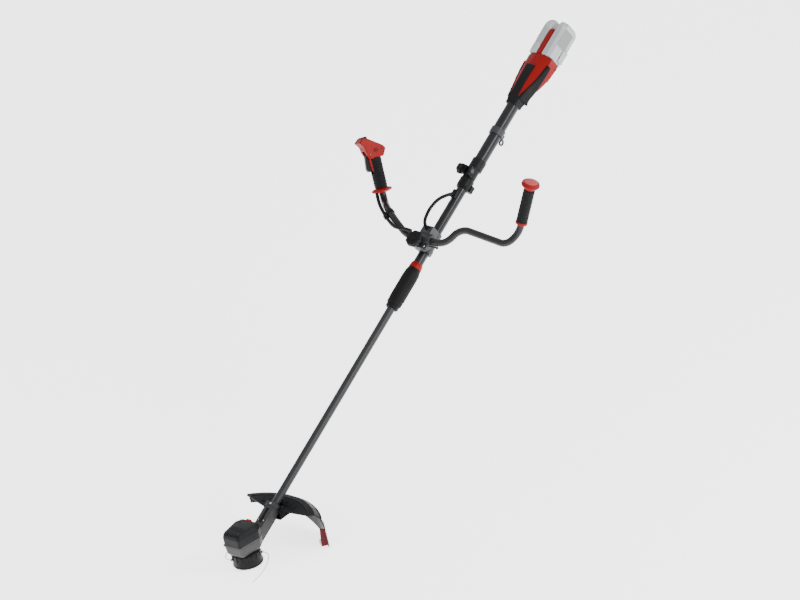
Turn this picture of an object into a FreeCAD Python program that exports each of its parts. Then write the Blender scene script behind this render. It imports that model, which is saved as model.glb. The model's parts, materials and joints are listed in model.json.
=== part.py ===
import FreeCAD, Part
import math
import os
import types

import Sketcher
from FreeCAD import Placement, Rotation, Vector

doc = FreeCAD.newDocument("string_trimmer")
sheet = doc.addObject("Spreadsheet::Sheet", "Sizes")

# Driving dimensions in millimetres and degrees: alias, value, meaning.
SIZES = [
    ("axis_height", 37, "height of the shaft axis where it crosses the spool axis"),
    ("shaft_slope", 27, "angle of the shaft above the cutting plane"),
    ("gap", 0.3, "clearance between pieces that move past each other"),
    ("snug", 0.05, "radial clearance of a fit"),
    ("lower_tube_d", 25, "outer diameter of the lower tube"),
    ("middle_tube_d", 31, "outer diameter of the middle tube"),
    ("upper_tube_d", 39, "outer diameter of the upper tube"),
    ("tube_wall", 1.5, "wall of the tubes"),
    ("lower_tube_start", 118, "lower tube, front end along the shaft"),
    ("lower_tube_end", 1100, "lower tube, rear end along the shaft"),
    ("middle_tube_start", 956, "middle tube, front end along the shaft"),
    ("middle_tube_end", 1430, "middle tube, rear end along the shaft"),
    ("upper_tube_start", 1432, "upper tube, front end along the shaft"),
    ("upper_tube_end", 1690, "upper tube, rear end along the shaft"),
    ("upper_tube_drop", 5, "offset of the upper tube below the shaft axis"),
    ("sleeve_start", 895, "twist-lock sleeve, front end along the shaft"),
    ("sleeve_length", 144, "length of the twist-lock sleeve"),
    ("sleeve_d", 47, "outer diameter of the twist-lock sleeve"),
    ("bar_d", 22, "outer diameter of the handlebar tube"),
    ("bar_wall", 1.8, "wall of the handlebar tube"),
    ("bar_height", 34, "height of the handlebar axis above the shaft axis"),
    ("bar_station", 1127, "handlebar axis along the shaft"),
    ("clamp_width", 70, "width of the handlebar clamp"),
    ("knob_station", 1106, "clamp knob axis along the shaft"),
    ("knob_d", 54, "diameter of the clamp knob"),
    ("grip_lean_out", 18, "outward lean of the grips"),
    ("grip_lean_back", 16.4, "rearward lean of the grips"),
    ("grip_length", 110, "length of the plain grip rubber"),
    ("grip_d", 36, "diameter of the plain grip rubber"),
    ("end_knob_d", 57, "diameter of the plain grip's end knob"),
    ("lead_d", 11, "diameter of the corrugated leads"),
    ("line_d", 2.4, "diameter of the cutting line"),
    ("coupling_station", 1336, "shaft coupling, front end along the shaft"),
    ("star_knob_d", 35, "diameter of the coupling's star knob"),
    ("harness_station", 1538, "harness collar, front end along the shaft"),
    ("eye_bore", 10, "bore of the harness eye"),
    ("eye_plate", 4, "thickness of the harness eye"),
    ("housing_start", 1649, "battery housing, front end along the shaft"),
    ("housing_end", 1829, "battery housing, rear end along the shaft"),
    ("housing_wall", 2.5, "wall of the battery housing"),
    ("fin_end", 1921, "rear end of the fin between the battery packs"),
    ("fin_width", 22, "width of the fin between the battery packs"),
    ("pack_end", 1953, "rear end of the battery packs"),
    ("pack_thick", 32, "thickness of a battery pack"),
    ("spool_d", 91, "outer diameter of the spool housing"),
    ("spool_bottom", 3, "underside of the spool housing"),
    ("spool_top", 46, "top of the spool housing"),
    ("bump_d", 44, "diameter of the bump knob"),
    ("motor_shaft_d", 8, "diameter of the motor shaft"),
    ("head_bottom", 48, "underside of the head housing"),
    ("head_split", 78, "joint between the head housing and its cover"),
    ("head_top", 124, "top of the head cover"),
    ("guard_r", 248, "outer radius of the guard about the spool axis"),
    ("guard_wall", 3, "wall of the guard"),
]


class Size:
    """A length that knows both its value and its expression in the sheet."""

    def __init__(self, value, text):
        self.value = value
        self.text = text

    def __float__(self):
        return float(self.value)

    def joined(self, sign, other, value):
        return Size(value, "(%s %s %s)" % (self.text, sign, text_of(other)))

    def __add__(self, other):
        return self.joined("+", other, float(self) + float(other))

    def __sub__(self, other):
        return self.joined("-", other, float(self) - float(other))

    def __mul__(self, other):
        return self.joined("*", other, float(self) * float(other))

    def __truediv__(self, other):
        return self.joined("/", other, float(self) / float(other))

    def __neg__(self):
        return self * -1

    def __rsub__(self, other):
        return self * -1 + other

    __radd__ = __add__
    __rmul__ = __mul__


def text_of(amount):
    return amount.text if isinstance(amount, Size) else "(%s)" % amount


dim = types.SimpleNamespace()
for row, (alias, amount, meaning) in enumerate(SIZES, start=1):
    sheet.set("A%d" % row, meaning)
    sheet.set("B%d" % row, str(amount))
    sheet.setAlias("B%d" % row, alias)
    setattr(dim, alias, Size(amount, "Sizes." + alias))
doc.recompute()

nodes = []


def fix(thing, prop, amount):
    """Bind a property to the sheet, or set it where it is a plain number."""
    if isinstance(amount, Size):
        thing.setExpression(prop, amount.text)
    else:
        setattr(thing, prop, amount)


def keep(thing, label):
    """Name a finished sub-part."""
    thing.Label = label
    nodes.append(thing)
    return thing


# Frames. On the shaft: a points to the trigger side, u up from the axis, s rearwards along it.
slope = float(dim.shaft_slope)
SHAFT = Placement(Vector(0, 0, float(dim.axis_height)),
                  Rotation(Vector(1, 0, 0), slope - 90) * Rotation(Vector(0, 0, 1), 180))
HEAD = Placement()
ALONG_A = Rotation(Vector(0, 1, 0), 90)
ALONG_U = Rotation(Vector(1, 0, 0), -90)
STRAIGHT = Rotation()


def spot(frame, x=0, y=0, z=0, turn=STRAIGHT):
    return frame.multiply(Placement(Vector(float(x), float(y), float(z)), turn))


def cylinder(place, radius, height, sweep=360):
    rod = doc.addObject("Part::Cylinder", "Rod")
    fix(rod, "Radius", radius)
    fix(rod, "Height", height)
    rod.Angle = sweep
    rod.Placement = place
    return rod


def block(place, length, width, height):
    """A box centred on its x and y, standing on z = 0 of its place."""
    brick = doc.addObject("Part::Box", "Brick")
    fix(brick, "Length", length)
    fix(brick, "Width", width)
    fix(brick, "Height", height)
    brick.Placement = place.multiply(Placement(Vector(-float(length) / 2, -float(width) / 2, 0), STRAIGHT))
    return brick


def fused(*pieces):
    whole = doc.addObject("Part::MultiFuse", "Fused")
    whole.Shapes = list(pieces)
    return whole


def cut(base, *tools):
    rest = doc.addObject("Part::Cut", "Cut")
    rest.Base = base
    rest.Tool = tools[0] if len(tools) == 1 else fused(*tools)
    return rest


def group(*pieces):
    """Identical loose pieces that share one node."""
    several = doc.addObject("Part::Compound", "Group")
    several.Links = list(pieces)
    return several


def tube(place, outer_r, inner_r, height):
    return cut(cylinder(place, outer_r, height), cylinder(place, inner_r, height))


def sketch_body(name, role, outline, place):
    """A body with a closed outline whose corners are bound to the sheet."""
    body = doc.addObject("PartDesign::Body", name)
    plane = [item for item in body.Origin.OriginFeatures if item.Role == role][0]
    sketch = body.newObject("Sketcher::SketchObject", name + "_outline")
    sketch.AttachmentSupport = [(plane, "")]
    sketch.MapMode = "FlatFace"
    corners = [Vector(float(x), float(y), 0) for x, y in outline]
    count = len(corners)
    for index in range(count):
        sketch.addGeometry(Part.LineSegment(corners[index], corners[(index + 1) % count]))
    for index in range(count):
        sketch.addConstraint(Sketcher.Constraint("Coincident", index, 2, (index + 1) % count, 1))
    for index, corner in enumerate(outline):
        for kind, amount in (("DistanceX", corner[0]), ("DistanceY", corner[1])):
            datum = sketch.addConstraint(Sketcher.Constraint(kind, -1, 1, index, 1, float(amount)))
            if isinstance(amount, Size):
                sketch.setExpression("Constraints[%d]" % datum, amount.text)
    body.Placement = place
    return body, sketch


def turned(label, outline, place=HEAD):
    """A piece turned about z: its outline is a list of radius and height."""
    body, sketch = sketch_body(label + "_body", "XZ_Plane", outline, place)
    turn = body.newObject("PartDesign::Revolution", label + "_turn")
    turn.Profile = sketch
    turn.ReferenceAxis = (sketch, ["V_Axis"])
    turn.Angle = 360
    return body


def plate(label, outline, thickness, place=HEAD):
    """A flat piece: its outline in x and y, padded along z."""
    body, sketch = sketch_body(label + "_body", "XY_Plane", outline, place)
    pad = body.newObject("PartDesign::Pad", label + "_pad")
    pad.Profile = sketch
    fix(pad, "Length", thickness)
    return body


def feature(label, shape, place=HEAD):
    """A sub-part whose shape is worked out below from the sheet."""
    thing = doc.addObject("Part::Feature", label)
    thing.Shape = shape
    thing.Placement = place.multiply(shape.Placement)
    return thing


def corner_arc(before, corner, after, radius):
    """The two tangent points and the middle point of the arc that rounds a corner."""
    back = (before - corner).normalize()
    ahead = (after - corner).normalize()
    half = back.getAngle(ahead) / 2
    reach = radius / math.tan(half)
    first = corner + back * reach
    last = corner + ahead * reach
    middle = corner + (back + ahead).normalize() * (radius / math.sin(half) - radius)
    return first, middle, last


def smooth_path(points):
    """Straight runs joined by tangent arcs, each as large as its two runs allow."""
    edges = []
    radii = []
    here = points[0]
    for before, corner, after in zip(points, points[1:], points[2:]):
        shorter = min((corner - before).Length, (after - corner).Length)
        half_turn = (corner - before).getAngle(after - corner) / 2
        radius = 0.45 * shorter / math.tan(half_turn)
        first, middle, last = corner_arc(before, corner, after, radius)
        edges.append(Part.LineSegment(here, first).toShape())
        edges.append(Part.Arc(first, middle, last).toShape())
        radii.append(radius)
        here = last
    edges.append(Part.LineSegment(here, points[-1]).toShape())
    return Part.Wire(edges), radii


def swept(points, radius):
    """A round rod along a smooth path."""
    path, radii = smooth_path(points)
    start = path.Edges[0]
    circle = Part.Circle(start.valueAt(start.FirstParameter), start.tangentAt(start.FirstParameter), radius)
    shape = path.makePipeShell([Part.Wire([circle.toShape()])], True, True)
    wanted = math.pi * radius ** 2 * path.Length
    print("sweep: radii %s, volume %.3f of section times length"
          % ([round(r) for r in radii], shape.Volume / wanted))
    return shape


def rounded_wire(points, radius):
    """A closed outline with every corner rounded."""
    count = len(points)
    edges = []
    arcs = [corner_arc(points[i - 1], points[i], points[(i + 1) % count], radius) for i in range(count)]
    for index, (first, middle, last) in enumerate(arcs):
        edges.append(Part.Arc(first, middle, last).toShape())
        edges.append(Part.LineSegment(last, arcs[(index + 1) % count][0]).toShape())
    return Part.Wire(edges)


def rounded_box(width, height, radius, station, drop=0):
    """A rounded rectangle across the shaft, as a section of a loft."""
    x = width / 2
    y = height / 2
    corners = [Vector(x, drop - y, station), Vector(x, drop + y, station),
               Vector(-x, drop + y, station), Vector(-x, drop - y, station)]
    return rounded_wire(corners, radius)


def half(shape, axis, sign, gap=0.05):
    """The part of a shape on one side of the plane at zero along an axis."""
    reach = 3000
    corner = [-reach, -reach, -reach]
    corner[axis] = gap if sign > 0 else -gap - 2 * reach
    return shape.common(Part.makeBox(2 * reach, 2 * reach, 2 * reach, Vector(*corner)))


# Shaft: three tubes, the twist-lock sleeve and the collet that it closes.
def shaft_tube(label, diameter, start, end, drop=0):
    place = spot(SHAFT, 0, -float(drop), start)
    return keep(tube(place, diameter / 2, diameter / 2 - dim.tube_wall, end - start), label)


shaft_tube("lower_tube", dim.lower_tube_d, dim.lower_tube_start, dim.lower_tube_end)
shaft_tube("middle_tube", dim.middle_tube_d, dim.middle_tube_start, dim.middle_tube_end)
shaft_tube("upper_tube", dim.upper_tube_d, dim.upper_tube_start, dim.upper_tube_end, dim.upper_tube_drop)

lower_r = dim.lower_tube_d / 2
middle_r = dim.middle_tube_d / 2
upper_r = dim.upper_tube_d / 2
sleeve_r = dim.sleeve_d / 2
sleeve_chamfer = 6
sleeve_step = dim.middle_tube_start - dim.sleeve_start - dim.gap
keep(turned("lock_sleeve", [
    (lower_r + dim.gap, 0), (sleeve_r - sleeve_chamfer, 0), (sleeve_r - 3, 10), (sleeve_r - 3, 13),
    (sleeve_r, 17), (sleeve_r, dim.sleeve_length - 14), (sleeve_r - 4, dim.sleeve_length),
    (middle_r + dim.gap, dim.sleeve_length), (middle_r + dim.gap, sleeve_step - 2),
    (lower_r + dim.gap, sleeve_step - 2)], spot(SHAFT, z=dim.sleeve_start)), "lock_sleeve")
ring_start = dim.sleeve_start + dim.sleeve_length + dim.gap
keep(turned("sleeve_ring", [
    (middle_r + dim.snug, 0), (middle_r + 5, 0), (middle_r + 4, 12), (middle_r + 2, 20),
    (middle_r + dim.snug, 20)], spot(SHAFT, z=ring_start)), "sleeve_ring")
collet_length = 34
keep(turned("lock_collet", [
    (lower_r - dim.tube_wall - 3, 0), (middle_r - dim.tube_wall - dim.snug, 0),
    (middle_r - dim.tube_wall - dim.snug, collet_length),
    (lower_r - dim.tube_wall - 3, collet_length)], spot(SHAFT, z=dim.lower_tube_end)), "lock_collet")


# Handlebar clamp: a base round the middle tube, a cap over the bar and a knob that draws them together.
bar_r = dim.bar_d / 2
bar_u = dim.bar_height
bar_s = dim.bar_station
clamp_front = 1100
clamp_rear = 1172
saddle_front = 1094
saddle_rear = 1146
saddle_bottom = 20
saddle_top = float(bar_u) - 0.2
box_top = 44
plate_top = float(bar_u) + 9.2
stud_r = 3


def bar_bore(radius):
    return cylinder(spot(SHAFT, -60, bar_u, bar_s, ALONG_A), radius, 120)


def stud_bore(low, high):
    return cylinder(spot(SHAFT, 0, low, dim.knob_station, ALONG_U), stud_r + dim.gap, high - low)


saddle = plate("clamp_saddle", [
    (-dim.clamp_width / 2, bar_s - saddle_rear), (dim.clamp_width / 2, bar_s - saddle_rear),
    (dim.clamp_width / 2, bar_s - saddle_front - 14), (16, bar_s - saddle_front),
    (-16, bar_s - saddle_front), (-dim.clamp_width / 2, bar_s - saddle_front - 14)],
    saddle_top - saddle_bottom, spot(SHAFT, 0, saddle_bottom, bar_s, ALONG_U))
rear_box = block(spot(SHAFT, 0, box_top / 2, saddle_rear - 4), 40, box_top, clamp_rear - saddle_rear + 4)
rings = [cylinder(spot(SHAFT, z=station), middle_r + ring_wall, length)
         for station, ring_wall, length in ((clamp_front, 8, 14), (clamp_front, 6, clamp_rear - clamp_front))]
keep(cut(fused(saddle, rear_box, *rings),
         cylinder(spot(SHAFT, z=saddle_front - 10), middle_r + dim.snug, 120),
         block(spot(SHAFT, 0, saddle_top, saddle_rear - 29.7, ALONG_U), 90, 60, 40),
         bar_bore(bar_r + dim.snug), stud_bore(saddle_bottom - 2, 60)), "clamp_base")

hump = cylinder(spot(SHAFT, -float(dim.clamp_width) / 2, bar_u, bar_s, ALONG_A), bar_r + 6, dim.clamp_width)
cap_plate = block(spot(SHAFT, 0, float(bar_u) + 0.2, (saddle_front + saddle_rear) / 2, ALONG_U),
                  dim.clamp_width, saddle_rear - saddle_front, plate_top - float(bar_u) - 0.2)
below = block(spot(SHAFT, 0, 0, bar_s, ALONG_U), 90, 90, float(bar_u) + 0.2)
knob_seat = cylinder(spot(SHAFT, 0, plate_top, dim.knob_station, ALONG_U), 14.4, 40)
keep(cut(fused(hump, cap_plate), below, knob_seat, bar_bore(bar_r + dim.snug), stud_bore(30, 80)), "clamp_cap")


def lobed_knob(label, lobes, radius, height, stem_length, place, *hub):
    """A knob with round lobes, its moulded-in stud and any hub under it."""
    rim = [cylinder(place.multiply(Placement(Vector(0, 0, 4), Rotation(Vector(0, 0, 1), turn * 360 / lobes))
                                   .multiply(Placement(Vector(float(radius) * 0.74, 0, 0), STRAIGHT))),
                    radius * 0.26, height - 4) for turn in range(lobes)]
    core = cylinder(place, radius * 0.8, height)
    stem = cylinder(place.multiply(Placement(Vector(0, 0, -stem_length), STRAIGHT)), stud_r, stem_length + 1)
    return keep(fused(core, stem, *rim, *hub), label)


knob_base = 60.6
knob_hub = cylinder(spot(SHAFT, 0, plate_top + 0.4, dim.knob_station, ALONG_U), 14, knob_base - plate_top + 1)
lobed_knob("clamp_knob", 10, dim.knob_d / 2, 17, knob_base - saddle_bottom,
           spot(SHAFT, 0, knob_base, dim.knob_station, ALONG_U), knob_hub)


# Coupling that divides the shaft: two collars, a body with ears and a star knob across the ears.
coupling_z = dim.coupling_station
tube_hole = cylinder(spot(SHAFT, z=coupling_z - 5), middle_r + dim.snug, 100)
lower_collar = turned("coupling_lower", [
    (middle_r + dim.snug, 0), (20, 0), (22.5, 8), (22.5, 32), (19, 38.9), (middle_r + dim.snug, 38.9)],
    spot(SHAFT, z=coupling_z))
keep(cut(fused(lower_collar, block(spot(SHAFT, -17, -15, coupling_z), 14, 14, 22)),
         tube_hole), "coupling_lower_collar")
ear_u = float(middle_r) + 6
ears = [block(spot(SHAFT, side * 11, ear_u / 2 + 5, coupling_z + 42), 6, ear_u + 2, 28) for side in (-1, 1)]
cross_bore = cylinder(spot(SHAFT, -30, ear_u, coupling_z + 56, ALONG_A), stud_r + dim.gap, 60)
coupling_tube = tube(spot(SHAFT, z=coupling_z + 39), middle_r + 4.5, middle_r + dim.snug, 35)
washer = cylinder(spot(SHAFT, 14, ear_u, coupling_z + 56, ALONG_A), 12, 3)
keep(cut(fused(coupling_tube, washer, *ears), cross_bore,
         cylinder(spot(SHAFT, z=coupling_z + 30), middle_r + dim.snug, 60)), "coupling_body")
keep(cut(cylinder(spot(SHAFT, 0, -3.5, coupling_z + 74.1), 22.5, 32),
         cylinder(spot(SHAFT, z=coupling_z + 70), middle_r + dim.snug, 25.5),
         cylinder(spot(SHAFT, 0, -dim.upper_tube_drop, coupling_z + 95.4), upper_r + dim.snug, 30)),
     "coupling_upper_collar")
lobed_knob("star_knob", 6, dim.star_knob_d / 2, 15, 36,
           spot(SHAFT, 19, ear_u, coupling_z + 56, ALONG_A))


# Harness collar with an eye plate on its underside.
eye_drop = float(dim.upper_tube_drop + upper_r) + 13
eye_a = -8
eye_s = float(dim.harness_station) - 4
collar = cylinder(spot(SHAFT, 0, -dim.upper_tube_drop, dim.harness_station), upper_r + 3.5, 22)
eye = cylinder(spot(SHAFT, eye_a, -eye_drop, eye_s, ALONG_A), dim.eye_bore / 2 + 5, dim.eye_plate)
web = block(spot(SHAFT, eye_a + float(dim.eye_plate) / 2, -eye_drop + 9, eye_s + 8), dim.eye_plate, 14, 14)
keep(cut(fused(collar, eye, web),
         cylinder(spot(SHAFT, 0, -dim.upper_tube_drop, eye_s - 20), upper_r + dim.snug, 60),
         cylinder(spot(SHAFT, eye_a - 5, -eye_drop, eye_s, ALONG_A), dim.eye_bore / 2, 20)), "harness_collar")


# Battery housing: two shells lofted from the neck to the battery bay, with a fin between the packs.
HOUSING = [  # station behind the housing's start, width, height, drop of the centre, corner radius
    (20, 45, 44, -5, 8), (45, 54, 50, -6, 10), (90, 76, 62, -11, 13), (135, 93, 70, -16, 14),
    (180, 95, 72, -16.5, 14)]


def housing_solid(inset, first=0):
    start = float(dim.housing_start)
    sections = [rounded_box(wide - 2 * inset, tall - 2 * inset, corner - inset, start + station, drop)
                for station, wide, tall, drop, corner in HOUSING[first:]]
    return Part.makeLoft(sections, True, False)


wall = float(dim.housing_wall)
bay = float(dim.housing_end)
shell = housing_solid(0).cut(housing_solid(wall))
rear_wall = housing_solid(0.1, 3).common(Part.makeBox(200, 200, wall, Vector(-100, -100, bay - wall)))
shell = shell.fuse(rear_wall)
tube_clear = Part.makeCylinder(float(upper_r + dim.snug), 200,
                               Vector(0, -float(dim.upper_tube_drop), float(dim.housing_start) - 10))
panel_low, panel_high = float(dim.housing_start) + 52, float(dim.housing_start) + 140
panel_room = Part.makeBox(20.4, 2.6, panel_high - panel_low + 0.4, Vector(-10.2, 18.4, panel_low - 0.2))
shell = shell.cut(tube_clear.fuse(panel_room))
for label, sign in (("housing_shell_left", -1), ("housing_shell_right", 1)):
    keep(feature(label, half(shell, 0, sign), SHAFT), label)
neck_outline = rounded_box(42, 42, 8, float(dim.housing_start), -5)
neck_shape = Part.makeLoft([neck_outline, rounded_box(45, 44, 8, float(dim.housing_start) + 19.9, -5)], True)
keep(feature("housing_neck", neck_shape.cut(tube_clear), SHAFT), "housing_neck")
keep(block(spot(SHAFT, 0, 19.8, panel_low), 20, 2.4, panel_high - panel_low), "top_panel")
side_panels = []
for side in (-1, 1):
    face = housing_solid(-1.6).cut(housing_solid(-0.05))
    strip = Part.makePolygon([Vector(0, -16, 0), Vector(0, 0, 0), Vector(0, -2, 60), Vector(0, -4, 120),
                              Vector(0, -18, 124), Vector(0, -20, 62), Vector(0, -16, 0)])
    prism = Part.Face(strip).extrude(Vector(70 * side, 0, 0))
    prism.translate(Vector(0, 0, float(dim.housing_start) + 22))
    side_panels.append(face.common(prism))
keep(feature("side_grip_panels", Part.makeCompound(side_panels), SHAFT), "side_grip_panels")
fin_start = bay + 0.05
pack_u = -17
fin = block(spot(SHAFT, 0, pack_u, fin_start), dim.fin_width, 66, dim.fin_end - fin_start)
rail_slots = [block(spot(SHAFT, side * float(dim.fin_width) / 2, pack_u + rail, fin_start + 4), 7, 8, 200)
              for side in (-1, 1) for rail in (-20, 20)]
keep(cut(fin, *rail_slots), "battery_fin")
keep(block(spot(SHAFT, 0, -24, float(dim.housing_start) + 85), 50, 1.6, 70), "control_board")


def battery_pack(side):
    """One pack: rounded case with two rails that slide in the fin's slots."""
    thick = float(dim.pack_thick)
    inner = float(dim.fin_width) / 2 + float(dim.gap)
    outline = rounded_wire([
        Vector(inner, -37.5, 0), Vector(inner + thick, -37.5, 0),
        Vector(inner + thick, 37.5, 0), Vector(inner, 37.5, 0)], 7)
    case = Part.Face(outline).extrude(Vector(0, 0, float(dim.pack_end) - bay - 0.6))
    top = [edge for edge in case.Edges if edge.BoundBox.ZMin > 100]
    case = case.makeFillet(5, top)
    rail_length = float(dim.fin_end) - fin_start - 8
    for rail in (-20, 20):
        case = case.fuse(Part.makeBox(3.4, 7, rail_length, Vector(inner - 2.8, rail - 3.5, 5)))
    room = Part.makeBox(9, 26, 46, Vector(inner + thick - 2.4, -37 + 4, 6))
    case = case.cut(room)
    if side < 0:
        case = case.mirror(Vector(0, 0, 0), Vector(1, 0, 0))
    case.translate(Vector(0, pack_u, bay + 0.3))
    return case


for label, side in (("battery_pack_left", -1), ("battery_pack_right", 1)):
    keep(feature(label, battery_pack(side), SHAFT), label)
latch_out = float(dim.fin_width) / 2 + float(dim.gap + dim.pack_thick)
for label, side in (("pack_latch_left", -1), ("pack_latch_right", 1)):
    keep(block(spot(SHAFT, side * (latch_out + 1.4), pack_u - 20, bay + 7.3), 2.8, 24, 44), label)


# Handlebar: two bent tubes that meet in the clamp. Their points are on the shaft frame.
def outward(side):
    """The direction in which a grip stands, on the shaft frame."""
    lean_out = math.tan(math.radians(float(dim.grip_lean_out)))
    lean_back = math.tan(math.radians(float(dim.grip_lean_back)))
    world = Vector(-side * lean_out, lean_back, 1).normalize()
    return SHAFT.Rotation.inverted().multVec(world)


bar_start = Vector(0, float(bar_u), float(bar_s))
TRIGGER_SEAT = Vector(236, 49, 1243)
PLAIN_SEAT = Vector(-331, 49, 1249)
trigger_up = outward(1)
plain_up = outward(-1)
trigger_points = [bar_start + Vector(0.3, 0, 0), bar_start + Vector(66, 0, 0), Vector(120, 50, 1156),
                  Vector(178, 50, 1190), TRIGGER_SEAT - trigger_up * 32, TRIGGER_SEAT + trigger_up * 60]
plain_points = [bar_start - Vector(0.3, 0, 0), bar_start - Vector(88, 0, 0), Vector(-122, 44, 1188),
                Vector(-300, 24, 1180), PLAIN_SEAT - plain_up * 32, PLAIN_SEAT + plain_up * 100]


def bent_tube(points):
    return swept(points, float(bar_r)).cut(swept(points, float(bar_r - dim.bar_wall)))


keep(feature("bar_trigger_side", bent_tube(trigger_points), SHAFT), "bar_trigger_side")
keep(feature("bar_plain_side", bent_tube(plain_points), SHAFT), "bar_plain_side")


def grip_frame(seat, up):
    """A frame at a grip's lower end: x forward, z up along the grip."""
    forward = Rotation(Vector(0, 0, -1), Vector(), up, "ZXY")
    return SHAFT.multiply(Placement(seat, forward))


PLAIN = grip_frame(PLAIN_SEAT, plain_up)
TRIGGER = grip_frame(TRIGGER_SEAT, trigger_up)
grip_bore = bar_r + dim.snug
grip_r = dim.grip_d / 2
keep(turned("grip_ring", [(grip_bore, 0), (grip_r, 0), (grip_r + 1, 3), (grip_r, 8), (grip_bore, 8)], PLAIN),
     "grip_ring")
keep(turned("plain_grip", [
    (grip_bore, 8.05), (grip_r - 1.5, 8.05), (grip_r, 14), (grip_r + 0.5, 50), (grip_r - 1, dim.grip_length),
    (grip_r - 3, dim.grip_length + 8), (grip_bore, dim.grip_length + 8)], PLAIN), "plain_grip")
end_r = dim.end_knob_d / 2
keep(turned("grip_end_knob", [
    (0, dim.grip_length + 8.05), (15, dim.grip_length + 8.05), (16, dim.grip_length + 14),
    (end_r - 2, dim.grip_length + 20), (end_r, dim.grip_length + 24), (end_r, dim.grip_length + 28),
    (end_r - 4, dim.grip_length + 32), (14, dim.grip_length + 36), (0, dim.grip_length + 36.5)], PLAIN),
    "grip_end_knob")

# Corrugated leads: from the handle to the clamp, and from the clamp into the middle tube.
lead_r = float(dim.lead_d) / 2
handle_lead_points = [Vector(238, 64, 1227), Vector(222, 54, 1203), Vector(182, 54, 1173),
                      Vector(138, 58, 1147), Vector(98, 64, 1129), Vector(66, 60, 1136),
                      Vector(41, 55, 1136)]
shaft_lead_points = [Vector(0, 44.2, 1161), Vector(0, 68, 1161), Vector(0, 80, 1205),
                     Vector(0, 70, 1250), Vector(0, 46, 1283), Vector(0, 20, 1308)]

# Trigger handle: flange, rubber grip and a red head, drawn in profile with x forward.
flange = doc.addObject("Part::Ellipsoid", "Flange")
fix(flange, "Radius1", 9)
fix(flange, "Radius2", 34)
fix(flange, "Radius3", 26)
flange.Placement = spot(TRIGGER, 0, 0, 4)
flange_cut = cylinder(spot(TRIGGER, 0, 0, -20), grip_bore, 60)
lead_hole = feature("lead_room", swept(handle_lead_points, lead_r + 0.1), SHAFT)
keep(cut(flange, flange_cut, lead_hole, block(spot(TRIGGER, 0, 0, 12), 90, 80, 20)), "handle_flange")
grip_solid = turned("grip_body", [
    (grip_bore, 12.05), (19, 12.05), (20, 20), (20, 60), (20.5, 104), (grip_bore, 104)], TRIGGER)
trigger_slot = block(spot(TRIGGER, 16, 0, 58), 16, 15, 60)
keep(cut(grip_solid, trigger_slot), "handle_grip")


def profile(outline, width):
    """A solid of the handle from its side profile, centred across the handle."""
    face = Part.Face(rounded_wire([Vector(x, 0, z) for x, z in outline], 3))
    solid = face.extrude(Vector(0, width, 0))
    solid.translate(Vector(0, -width / 2, 0))
    return solid


def softened(solid, radius):
    """Round the long edges of the two flat sides."""
    sides = [edge for edge in solid.Edges
             if abs(abs(edge.CenterOfMass.y) - solid.BoundBox.YMax) < 0.01]
    return solid.makeFillet(radius, sides)


HEAD_OUTLINE = [(-25, 104.1), (-38, 126), (-30, 137), (14, 166), (32, 172), (48, 160), (35, 144),
                (31, 124), (26, 113), (24, 104.1)]
head_width = 38
handle_head = softened(profile(HEAD_OUTLINE, head_width), 4)
trigger_room = Part.makeBox(28, 15, 30, Vector(7, -7.5, 100))
cap_room = Part.makeBox(21, 17, 30, Vector(12.5, -8.5, 156))
switch_room = Part.makeBox(26, 17, 18, Vector(-22, -8.5, 106))
pin_bore = Part.makeCylinder(2.05, 60, Vector(19, -30, 118), Vector(0, 1, 0))
oval_room = Part.makeBox(12.6, 9, 8.6, Vector(-8.3, 11.5, 122.7))
handle_shape = handle_head.cut(trigger_room).cut(cap_room).cut(switch_room).cut(pin_bore).cut(oval_room)
keep(feature("handle_shell", handle_shape, TRIGGER), "handle_shell")
TRIGGER_OUTLINE = [(16, 124), (25, 122), (30, 112), (35, 74), (31, 66), (24, 66), (18, 78), (15, 112)]
trigger_shape = profile(TRIGGER_OUTLINE, 13).cut(Part.makeCylinder(2.05, 60, Vector(19, -30, 118),
                                                                    Vector(0, 1, 0)))
keep(feature("trigger", trigger_shape, TRIGGER), "trigger")
keep(cylinder(spot(TRIGGER, 19, 16, 118, Rotation(Vector(1, 0, 0), 90)), 2, 32), "trigger_pin")
keep(block(spot(TRIGGER, -9, 0, 108), 20, 12, 12), "microswitch")
keep(block(spot(TRIGGER, 23, 0, 160), 20, 16, 13.5), "lockoff_button")
keep(block(spot(TRIGGER, -2, 17.5, 123), 12, 7, 8), "mode_button")


keep(feature("handle_lead", swept(handle_lead_points, lead_r), SHAFT), "handle_lead")
keep(feature("shaft_lead", swept(shaft_lead_points, lead_r), SHAFT), "shaft_lead")
keep(cut(block(spot(SHAFT, 0, 12, 1294), 18, 22, 26),
         cylinder(spot(SHAFT, z=1280), middle_r + dim.snug, 60),
         doc.getObject("shaft_lead")), "tube_grommet")
clip_lead = (handle_lead_points[2] + handle_lead_points[3]) / 2
clip_bar = Vector(160, 50, 1179.4)
clip_way = (trigger_points[3] - trigger_points[2]).normalize()
clip_shape = Part.makeCylinder(float(bar_r) + 2.5, 12, clip_bar - clip_way * 6, clip_way)
clip_shape = clip_shape.fuse(Part.makeCylinder(lead_r + 2.5, 12, clip_lead - clip_way * 6, clip_way))
clip_shape = clip_shape.cut(swept(trigger_points, float(bar_r + dim.snug)))
clip_shape = clip_shape.cut(swept(handle_lead_points, lead_r + float(dim.snug)))
keep(feature("lead_clip", clip_shape.removeSplitter(), SHAFT), "lead_clip")

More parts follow.
